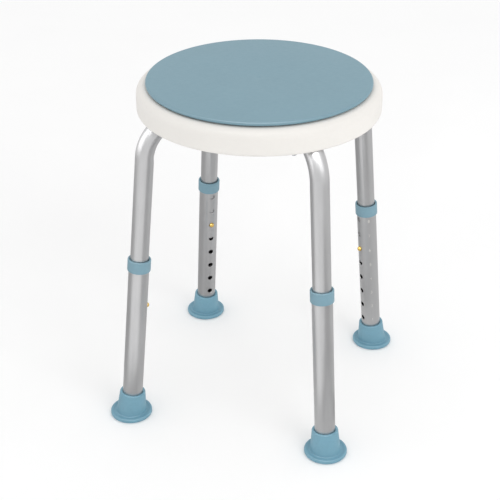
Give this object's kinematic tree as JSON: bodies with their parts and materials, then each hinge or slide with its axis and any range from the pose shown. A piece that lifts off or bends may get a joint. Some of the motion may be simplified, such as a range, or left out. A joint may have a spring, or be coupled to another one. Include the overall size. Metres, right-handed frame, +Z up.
{
  "type": "shower stool",
  "caption": "Backless shower stool: swivelling round disc on a thick round seat, splayed telescoping metal legs with push-button height locks and flared rubber feet.",
  "frame": {"origin": "floor level on the seat's swivel axis, midway between the feet", "axes": "+Z up along the swivel axis, -Y towards the front of the stool, +X to its right"},
  "size_m": [0.4262, 0.4325, 0.4835],
  "materials": {
    "disc_plastic": "fine matte texture, blue-grey",
    "seat_plastic": "smooth satin moulded, warm white",
    "tube_aluminium": "satin anodised",
    "brass": "polished",
    "foot_rubber": "matte, blue",
    "collar_plastic": "satin moulded, blue",
    "bearing_plastic": "natural acetal",
    "spring_steel": "blued spring strip",
    "saddle_plastic": "black moulded",
    "zinc_steel": "zinc plated"
  },
  "bodies": {
    "seat": {"seat_base": "seat_plastic", "lower_race": "bearing_plastic", "bearing_cage": "bearing_plastic", "bearing_balls": "zinc_steel", "lower_race_screws": "zinc_steel", "pivot_washer": "zinc_steel", "pivot_bush": "bearing_plastic", "thrust_washer": "zinc_steel", "upper_leg_tube_front_left": "tube_aluminium", "upper_leg_tube_front_right": "tube_aluminium", "upper_leg_tube_back_right": "tube_aluminium", "upper_leg_tube_back_left": "tube_aluminium", "button_spring_front_left": "spring_steel", "button_spring_front_right": "spring_steel", "button_spring_back_right": "spring_steel", "button_spring_back_left": "spring_steel", "leg_bolts": "zinc_steel", "deck_washers": "zinc_steel", "nut_washers": "zinc_steel", "tube_saddles": "saddle_plastic", "dome_nuts": "zinc_steel", "tube_end_plugs": "saddle_plastic"},
    "disc": {"swivel_disc": "disc_plastic", "upper_race": "bearing_plastic", "upper_race_screws": "zinc_steel", "pivot_bolt": "zinc_steel", "pivot_insert": "brass"},
    "leg_front_left": {"lower_leg_tube_front_left": "tube_aluminium", "leg_collar_front_left": "collar_plastic", "rubber_foot_front_left": "foot_rubber", "foot_washer_front_left": "zinc_steel"},
    "leg_front_right": {"lower_leg_tube_front_right": "tube_aluminium", "leg_collar_front_right": "collar_plastic", "rubber_foot_front_right": "foot_rubber", "foot_washer_front_right": "zinc_steel"},
    "leg_back_right": {"lower_leg_tube_back_right": "tube_aluminium", "leg_collar_back_right": "collar_plastic", "rubber_foot_back_right": "foot_rubber", "foot_washer_back_right": "zinc_steel"},
    "leg_back_left": {"lower_leg_tube_back_left": "tube_aluminium", "leg_collar_back_left": "collar_plastic", "rubber_foot_back_left": "foot_rubber", "foot_washer_back_left": "zinc_steel"},
    "button_front_left": {"snap_button_front_left": "brass"},
    "button_front_right": {"snap_button_front_right": "brass"},
    "button_back_right": {"snap_button_back_right": "brass"},
    "button_back_left": {"snap_button_back_left": "brass"}
  },
  "joints": [
    {"name": "disc_swivel", "type": "hinge", "parent": "seat", "child": "disc", "pos_m": [0, 0, 0.4735], "axis": [0, 0, 1], "continuous": true},
    {"name": "leg_height_front_left", "type": "slide", "parent": "seat", "child": "leg_front_left", "axis": [-0.0844, -0.0417, -0.9956], "range_m": [-0.127, 0.0508], "deforming": ["snap_button_front_left", "button_spring_front_left"]},
    {"name": "leg_height_front_right", "type": "slide", "parent": "seat", "child": "leg_front_right", "axis": [0.0423, -0.0841, -0.9956], "range_m": [-0.127, 0.0508], "deforming": ["snap_button_front_right", "button_spring_front_right"]},
    {"name": "leg_height_back_right", "type": "slide", "parent": "seat", "child": "leg_back_right", "axis": [0.0825, 0.0452, -0.9956], "range_m": [-0.127, 0.0508], "deforming": ["snap_button_back_right", "button_spring_back_right"]},
    {"name": "leg_height_back_left", "type": "slide", "parent": "seat", "child": "leg_back_left", "axis": [-0.0389, 0.0857, -0.9956], "range_m": [-0.127, 0.0508], "deforming": ["snap_button_back_left", "button_spring_back_left"]},
    {"name": "button_press_front_left", "type": "slide", "parent": "seat", "child": "button_front_left", "axis": [-0.8925, -0.4411, 0.0941], "range_m": [0, 0.005], "stiffness_N_per_m": 900, "springref_m": -0.004, "deforming": ["button_spring_front_left"]},
    {"name": "button_press_front_right", "type": "slide", "parent": "seat", "child": "button_front_right", "axis": [0.4473, -0.8894, 0.0941], "range_m": [0, 0.005], "stiffness_N_per_m": 900, "springref_m": -0.004, "deforming": ["button_spring_front_right"]},
    {"name": "button_press_back_right", "type": "slide", "parent": "seat", "child": "button_back_right", "axis": [0.8733, 0.4781, 0.0941], "range_m": [0, 0.005], "stiffness_N_per_m": 900, "springref_m": -0.004, "deforming": ["button_spring_back_right"]},
    {"name": "button_press_back_left", "type": "slide", "parent": "seat", "child": "button_back_left", "axis": [-0.4113, 0.9066, 0.0941], "range_m": [0, 0.005], "stiffness_N_per_m": 900, "springref_m": -0.004, "deforming": ["button_spring_back_left"]}
  ]
}
